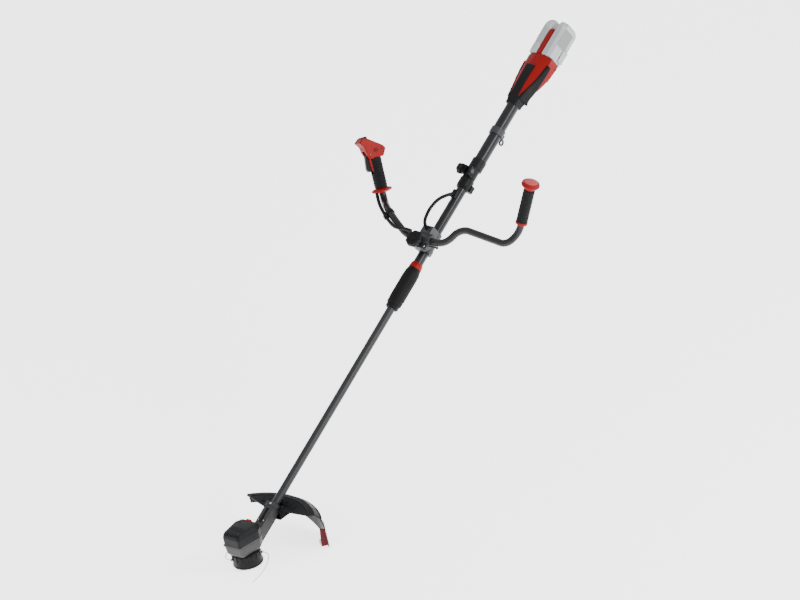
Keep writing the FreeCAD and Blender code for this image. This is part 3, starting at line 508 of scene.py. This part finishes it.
def side_panel(side, label):
    """A ribbed rubber band that sweeps from the neck up the side of the housing."""
    stations = [20 + 5.5 * step for step in range(25)]
    ribs, per_rib = 6, 6
    rows = []
    for station in stations:
        along_band = (station - 20) / (stations[-1] - 20)
        centre = -8 + 4 * along_band ** 1.5
        reach = 17 * (1 - along_band) ** 1.2 + 7.5
        row = []
        for step in range(ribs * per_rib + 1):
            across = step / (ribs * per_rib)
            height = centre - reach + 2 * reach * across
            wave = 0.5 - 0.5 * math.cos(math.tau * across * ribs)
            edge = min(1, 8 * min(across, 1 - across))
            proud = 0.9 + 0.9 * edge + 0.8 * wave * edge
            row.append((side * (housing_width(station, height) + proud), height, HOUSING_START + station))
        rows.append(row)
    columns = len(rows[0])
    points = [point for row in rows for point in row]
    piece("side_panel_%s" % label, points, loft_faces(len(rows), columns, closed=False, capped=False), SHAFT,
          "rubber_black", "shaft", solidify=1.6, replaces=["side_grip_panels"] if side > 0 else ())


def top_trim():
    """The smooth black panel on the housing's top, narrower towards the neck."""
    rows = [(6, 17, 16.2), (24, 16, 17.9), (60, 15.5, 19.4), (100, 16, 20.4), (134, 17, 20.4),
            (138, 15.5, 19.6)]
    sections = []
    for station, half_width, top in rows:
        sections.append([(a, u, HOUSING_START + station) for a, u in (
            (-half_width, top - 2.4), (-half_width, top), (half_width, top), (half_width, top - 2.4))])
    loft("top_trim", sections, SHAFT, "black_plastic", "shaft", replaces=["top_panel"], bevel=0.7)


def fin_skin():
    half_width = SPINE - 0.4
    outline = [(-half_width, -50), (-half_width, 14), (-half_width + 2, 18), (-half_width + 6, 20.5),
               (half_width - 6, 20.5), (half_width - 2, 18), (half_width, 14), (half_width, -50)]
    rows = [(1829.1, 1.0, 0), (1900, 1.0, 0), (1916, 0.96, -1), (1921, 0.8, -4)]
    sections = [[(a * scale, u + drop, station) for a, u in outline] for station, scale, drop in rows]
    loft("fin_skin", sections, SHAFT, "red_plastic", "shaft", replaces=["battery_fin"], bevel=1.0)


PACK_LOW, PACK_HIGH = -54.5, 20.5


def battery(side, label):
    """A battery pack: chamfered case with a recessed label field, seam lines and a latch."""
    inner, outer = 11.4, 43.3
    body = "pack_%s" % label

    def outline(grow, station):
        chamfer = 9
        a0, a1 = inner, outer - grow
        u0, u1 = PACK_LOW + grow, PACK_HIGH - grow
        ring = [(a0, u0 + 3), (a0 + 3, u0), (a1 - chamfer, u0), (a1, u0 + chamfer), (a1, u1 - chamfer),
                (a1 - chamfer, u1), (a0 + 3, u1), (a0, u1 - 3)]
        return [(side * a, u, station) for a, u in ring]

    rows = [(1.5, 1829.6), (0.0, 1832), (0.0, 1866), (0.6, 1866.6), (0.6, 1868), (0.0, 1868.6), (0.0, 1936),
            (4.5, 1947), (9.0, 1952.6)]
    case = loft("pack_%s_case" % label, [outline(grow, station) for grow, station in rows], SHAFT,
                "pack_pale",
                body, replaces=["battery_pack_%s" % label])
    hollow(case, (side * (outer + 1), -37, 1858), (10, 27, 47))
    round_edges(case, 1.1)
    slab("pack_%s_label" % label, (side * (outer + 0.1), -10, 1903), (0.5, 44, 58), SHAFT, "pack_label", body,
         bevel=0.2)
    slab("pack_%s_end" % label, (side * 27, -17, 1952.8), (12, 40, 0.8), SHAFT, "pack_label", body, bevel=0.3)
    for rib in range(3):
        slab("pack_%s_rib_%d" % (label, rib), (side * 27, PACK_HIGH - 0.1, 1846 + 7 * rib), (14, 1.0, 1.6),
             SHAFT,
             "pack_pale", body, bevel=0.3)
    latch_centre = (side * (outer + 1.2), -37, 1858)
    slab("pack_%s_latch" % label, latch_centre, (2.6, 22, 40), SHAFT, "pack_pale", "latch_%s" % label,
         replaces=["pack_latch_%s" % label], bevel=0.9)
    for end in (-1, 1):
        slab("pack_%s_latch_edge_%s" % (label, "front" if end < 0 else "rear"),
             (side * (outer + 2.0), -47.2, 1858 + end * 18), (1.6, 2.4, 4), SHAFT, "black_plastic",
             "latch_%s" % label, bevel=0.3)


FINISH["lid_black"] = surface("lid_black", (0.013, 0.013, 0.0135), 0.5, grain=800, bump=0.3)
FINISH["pack_label"] = surface("pack_label", (0.20, 0.205, 0.205), 0.45, grain=900, bump=0.1, mottle=0.05,
                               wear=0.05)
housing_shells()
neck_skin()
side_panel(-1, "left")
side_panel(1, "right")
top_trim()
fin_skin()
battery(-1, "left")
battery(1, "right")


# Grips: ribbed rubber, a domed end knob with its parting line, and the trigger handle's cheeks.
def ribbed(radius, start, end, pitch, depth):
    profile = [(11.1, start), (radius - 1.5, start)]
    steps = int((end - start - 4) / pitch * 6)
    for step in range(steps + 1):
        height = start + 2 + (end - start - 4) * step / steps
        wave = 0.5 + 0.5 * math.cos(math.tau * (height - start) / pitch)
        profile.append((radius - depth * wave, height))
    return profile + [(radius - 2, end), (11.1, end)]


GRIP_R, GRIP_LENGTH, KNOB_R = 18, 110, 28.5
lathe("plain_grip_ribbed", ribbed(GRIP_R, 8.05, GRIP_LENGTH + 8, 6.2, 1.3), PLAIN, "rubber_black",
      "handlebar",
      replaces=["plain_grip"])
top_of_grip = GRIP_LENGTH + 8.05
lathe("end_knob_dome", [(0, top_of_grip), (15, top_of_grip), (15.5, top_of_grip + 6),
                        (KNOB_R - 3, top_of_grip + 11), (KNOB_R - 0.8, top_of_grip + 13.5),
                        (KNOB_R, top_of_grip + 17), (KNOB_R, top_of_grip + 18.3),
                        (KNOB_R - 0.9, top_of_grip + 18.8),
                        (KNOB_R - 0.9, top_of_grip + 19.6), (KNOB_R - 0.2, top_of_grip + 20),
                        (KNOB_R - 3, top_of_grip + 25), (14, top_of_grip + 27.6), (0, top_of_grip + 28.4)],
      PLAIN, "red_plastic", "handlebar", replaces=["grip_end_knob"])
# The end knob's top face carries the painted highlight: a lighter pink disc where the lamp's reflection falls
# on the red knob.
lathe("end_knob_face", [(0, top_of_grip + 24), (21, top_of_grip + 24), (21.5, top_of_grip + 26.2),
                        (20, top_of_grip + 27.4), (12, top_of_grip + 28.6), (0, top_of_grip + 29)],
      PLAIN, "knob_face_painted_highlight", "handlebar")
for side, label in ((-1, "left"), (1, "right")):
    cheek = sorted((side * 6.9, side * 10.6))
    profile_block("handle_cheek_%s" % label,
                  [(14, 106), (24, 106), (24, 92), (22, 74), (19, 64), (14, 70), (13, 90)],
                  cheek[0], cheek[1], TRIGGER, "red_plastic", "handlebar", bevel=1.2)
    for step in range(8):
        slab("handle_grip_rib_%s_%d" % (label, step), (-2 + 0.3 * step, side * 19.9, 30 + 8.4 * step),
             (20, 2.2, 3.0), TRIGGER, "rubber_black", "handlebar", bevel=0.9)
    screw("handle_screw_%s" % label, TRIGGER @ turn_to((0, 0, 1), (side, 0, 0), (0, side, 0),
                                                       (-22, side * 19, 128)), "handlebar", 2.4, "cast_dark")
lathe("trigger_flange_lip", [(24, 3), (30, 3), (31.5, 4.4), (30, 5.8), (24, 5.8)],
      TRIGGER @ Matrix.Diagonal((0.70, 1.06, 1, 1)), "red_plastic", "handlebar")
# Painted highlight: a lighter silver strip on the dark trigger's front face, standing in for where the lamp
# catches it.
profile_block("trigger_face_highlight", [(30.8, 112), (32.4, 112), (36.6, 76), (35.2, 74.5)], -4.5, 4.5, TRIGGER,
              "cast_silver", "trigger_lever", bevel=0.6)


# Knobs: lobed rims with a dished top and a raised centre.
def lobed(name, lobes, radius, height, where, body, replaced, hub, drop):
    segments = lobes * 12
    rows = [(hub, -drop), (hub, 0.0), (0.80, 0.0), (0.95, 1.5), (1.0, 4.0), (1.0, height - 3.5),
            (0.95, height - 0.8), (0.86, height), (0.66, height), (0.60, height - 2.2), (0.36, height - 2.4),
            (0.32, height - 0.4), (0.05, height)]
    sections = []
    for share, level in rows:
        ring = []
        for step in range(segments):
            turn = math.tau * step / segments
            scallop = 1 - 0.085 * (0.5 - 0.5 * math.cos(lobes * turn)) ** 1.6 * max(0,
                min(1, (share - 0.6) * 4))
            ring.append((radius * share * scallop * math.cos(turn), radius * share * scallop * math.sin(turn),
                         level))
        sections.append(ring)
    loft(name, sections, where, "black_plastic", body, replaces=[replaced])


lobed("bar_knob_top", 10, 27, 17, along_u((0, 60.6, 1106)), "bar_knob", "clamp_knob", 0.5, 16.5)
lobed("coupling_knob_top", 6, 17.5, 15, along_a((19, 21.5, 1392)), "coupling_knob", "star_knob", 0.55, 1.5)
lathe("coupling_nut", [(0, -3), (8, -3), (8.6, -1), (8.6, 2), (7, 3), (4, 3.4), (0, 3.4)],
      along_a((-17, 21.5, 1392)), "cast_dark", "shaft", segments=6)
for index, (a, s) in enumerate(((26, 1136), (-26, 1136), (26, 1102), (-26, 1102))):
    screw("clamp_screw_%d" % index, along_u((a, 43.4, s)), "shaft", 3.6)
lathe("clamp_pin", [(0, 0), (2.2, 0), (2.2, 22), (1.4, 23), (3.4, 25), (4.6, 28), (3.8, 31), (0, 32.4)],
      SHAFT @ turn_to((0, 0, 1), (0, 1, 0), (-1, 0, 0), (-34, 28, 1113)), "cast_dark", "shaft", segments=28)
slab("clamp_box_slot", (0, 44.0, 1166), (24, 0.9, 3.2), SHAFT, "black_plastic", "shaft", bevel=0.3)
screw("harness_screw", along_a((14, -19, 1538)), "shaft", 3.2)


# Sleeve: lengthwise ribs and a lip at its front end.
SLEEVE_START, SLEEVE_LENGTH = 895, 144
for step in range(18):
    turn = math.tau * step / 18
    radial = SHAFT @ Matrix.Rotation(turn, 4, "Z")
    slab("sleeve_rib_%d" % step, (23.4, 0, SLEEVE_START + SLEEVE_LENGTH * 0.52),
         (1.6, 2.4, SLEEVE_LENGTH * 0.6),
         radial, "rubber_black", "sleeve", bevel=0.7)
lathe("sleeve_lip", [(14, 2), (19.8, 2), (20.6, 3.4), (20.6, 6), (19.8, 7.4), (14, 7.4)],
      SHAFT @ Matrix.Translation((0, 0, SLEEVE_START * MM)), "black_plastic", "sleeve")


# Motor head: raised lid, blank recess, screws and vent slots; silver strips on the arm.
def plan_section(scale, level):
    plan = [(-34, -50), (34, -50), (46, 26), (34, 50), (-34, 50), (-46, 26)]
    return [(x * scale, y * scale, level) for x, y in plan]


loft("cover_lid", [plan_section(0.80, 123.6), plan_section(0.80, 124.6), plan_section(0.76, 125.6)], HEAD,
     "lid_black", "lower_shaft", bevel=1.6)
CAPSULE_SIDES = 40
capsule = []
for level, grow in ((125.3, 0), (126.0, 0), (126.4, -0.6)):
    ring = []
    for step in range(CAPSULE_SIDES):
        turn = step * math.tau / CAPSULE_SIDES
        shift = 14 if math.cos(turn) > 0 else -14
        ring.append(((10 + grow) * math.cos(turn) + shift, (10 + grow) * math.sin(turn) - 12, level))
    capsule.append(ring)
loft("cover_blank", capsule, HEAD, "guard_black", "lower_shaft")
for index, (x, y) in enumerate(((-23, -34), (23, -34), (-24, 27), (24, 27))):
    screw("cover_screw_%d" % index, HEAD @ Matrix.Translation((x * MM, y * MM, 125.6 * MM)), "lower_shaft",
          2.6,
          "cast_dark")
for side, label in ((-1, "left"), (1, "right")):
    for step in range(6):
        share = 0.2 + 0.12 * step
        x, y = 34 + 12 * share, -50 + 76 * share
        facing = Matrix.Rotation(-side * math.atan2(12, 76), 4, "Z")
        place = HEAD @ Matrix.Translation((side * x * MM, y * MM, 0.100)) @ facing
        slab("cover_vent_%s_%d" % (label, step), (0, 0, 0), (1.2, 4.2, 17), place, "guard_black",
             "lower_shaft",
             bevel=0.5)
loft("head_band", [plan_section(1.012, 79.2), plan_section(1.02, 80.4), plan_section(1.02, 84.6),
                   plan_section(1.012, 85.6)], HEAD, "cast_grey", "lower_shaft", bevel=0.8)
slab("lock_tab", (-4, 47.4, 122.6), (9, 6, 4), HEAD, "black_plastic", "spindle_lock", bevel=1.0)
for side, label in ((-1, "left"), (1, "right")):
    slab("arm_strip_%s" % label, (side * 10.5, 16.7, 132), (5, 1.4, 66), SHAFT, "cast_silver", "lower_shaft",
         bevel=0.5)
    screw("arm_screw_%s" % label, along_u((side * 10.5, 17.2, 108)), "lower_shaft", 2.2)
screw("arm_screw_rear", along_u((0, 18.3, 168)), "lower_shaft", 3.2)


# Guard: raised ridges, ribs, screws and a saddle over the turned shell. The skirt's lower edge slopes.
GUARD_R = 248
SKIRT_HIGH = 62
SKIRT_HIGH_X = -60
SKIRT_FOOT_X = 120
SKIRT_MARGIN = 6


def guard_ridge(name, radius, level, first, last, wide, tall):
    sections = []
    for step in range(37):
        bearing = math.radians(first + (last - first) * step / 36)
        x, y = math.sin(bearing), math.cos(bearing)
        sections.append([(x * r, y * r, z) for r, z in (
            (radius, level), (radius + wide, level), (radius + wide * 0.7, level + tall),
            (radius + wide * 0.3, level + tall))])
    loft(name, sections, HEAD, "guard_black", "lower_shaft")


guard_ridge("guard_ridge_inner", 172, 113.2, -21, 25, 4, 2.0)
guard_ridge("guard_ridge_middle", 205, 113.6, -33, 42.5, 4, 2.0)
guard_ridge("guard_ridge_shoulder", 240, 92, -34, 43, 5, 4)
for step in range(9):
    bearing = math.radians(-20 + 7 * step)
    spoke = HEAD @ Matrix.Rotation(-bearing, 4, "Z")
    if step < 7:
        slab("guard_rib_%d" % step, (0, 190, 114.4), (2.6, 27, 1.8), spoke, "guard_black", "lower_shaft",
             bevel=0.6)
    rib_x = GUARD_R * math.sin(bearing)
    skirt_edge = SKIRT_HIGH * (SKIRT_FOOT_X - rib_x) / (SKIRT_FOOT_X - SKIRT_HIGH_X)
    rib_low = max(SKIRT_MARGIN, skirt_edge + 4)
    rib_high = SKIRT_HIGH + 2
    if rib_high - rib_low > 12:
        slab("guard_skirt_rib_%d" % step, (0, 247.6, (rib_low + rib_high) / 2),
             (3.0, 2.4, rib_high - rib_low),
             spoke, "guard_black", "lower_shaft", bevel=0.6)
for index, (x, y) in enumerate(((-26, 160), (26, 160))):
    screw("guard_screw_%d" % index, HEAD @ Matrix.Translation((x * MM, y * MM, 0.1125)), "lower_shaft", 3.4,
          "cast_dark")


slab("guard_saddle", (0, 170, 106), (43, 26, 3), HEAD, "guard_black", "lower_shaft", bevel=0.8)


# Spool: ribs round the wall and the bump knob, and eyelets for the line.
for step in range(16):
    turn = HEAD @ Matrix.Rotation(math.tau * step / 16, 4, "Z")
    slab("spool_rib_%d" % step, (44.6, 0, 33), (2.6, 3.2, 17), turn, "black_plastic", "spool_drive",
         bevel=0.8)
for step in range(10):
    turn = HEAD @ Matrix.Rotation(math.tau * step / 10, 4, "Z")
    slab("bump_rib_%d" % step, (23, 0, 5), (3.4, 3.0, 5), turn, "black_plastic", "bump_feed", bevel=0.8)
for index, sign in enumerate((1, -1)):
    outlet = HEAD @ Matrix.Rotation(0 if sign > 0 else math.pi, 4, "Z") @ turn_to(
        (0, 0, 1), (-0.192, 0.981, 0), (-0.981, -0.192, 0), (29.5, 38.2, 25))
    lathe("line_eyelet_%d" % index, [(1.5, -1.5), (4.2, -1.5), (4.8, 0), (4.2, 2), (1.5, 2)], outlet, "steel",
          "spool_drive", segments=28)


# Housing: a row of screws on each side.
for side, label in ((-1, "left"), (1, "right")):
    for index, (station, height) in enumerate(((1706, -26), (1770, -36), (1812, -36))):
        width = housing_width(station - HOUSING_START, height)
        screw("housing_screw_%s_%d" % (label, index),
              SHAFT @ turn_to((0, 0, 1), (0, side, 0), (side, 0, 0), (side * width, height, station)),
              "shaft", 2.6, "cast_dark")
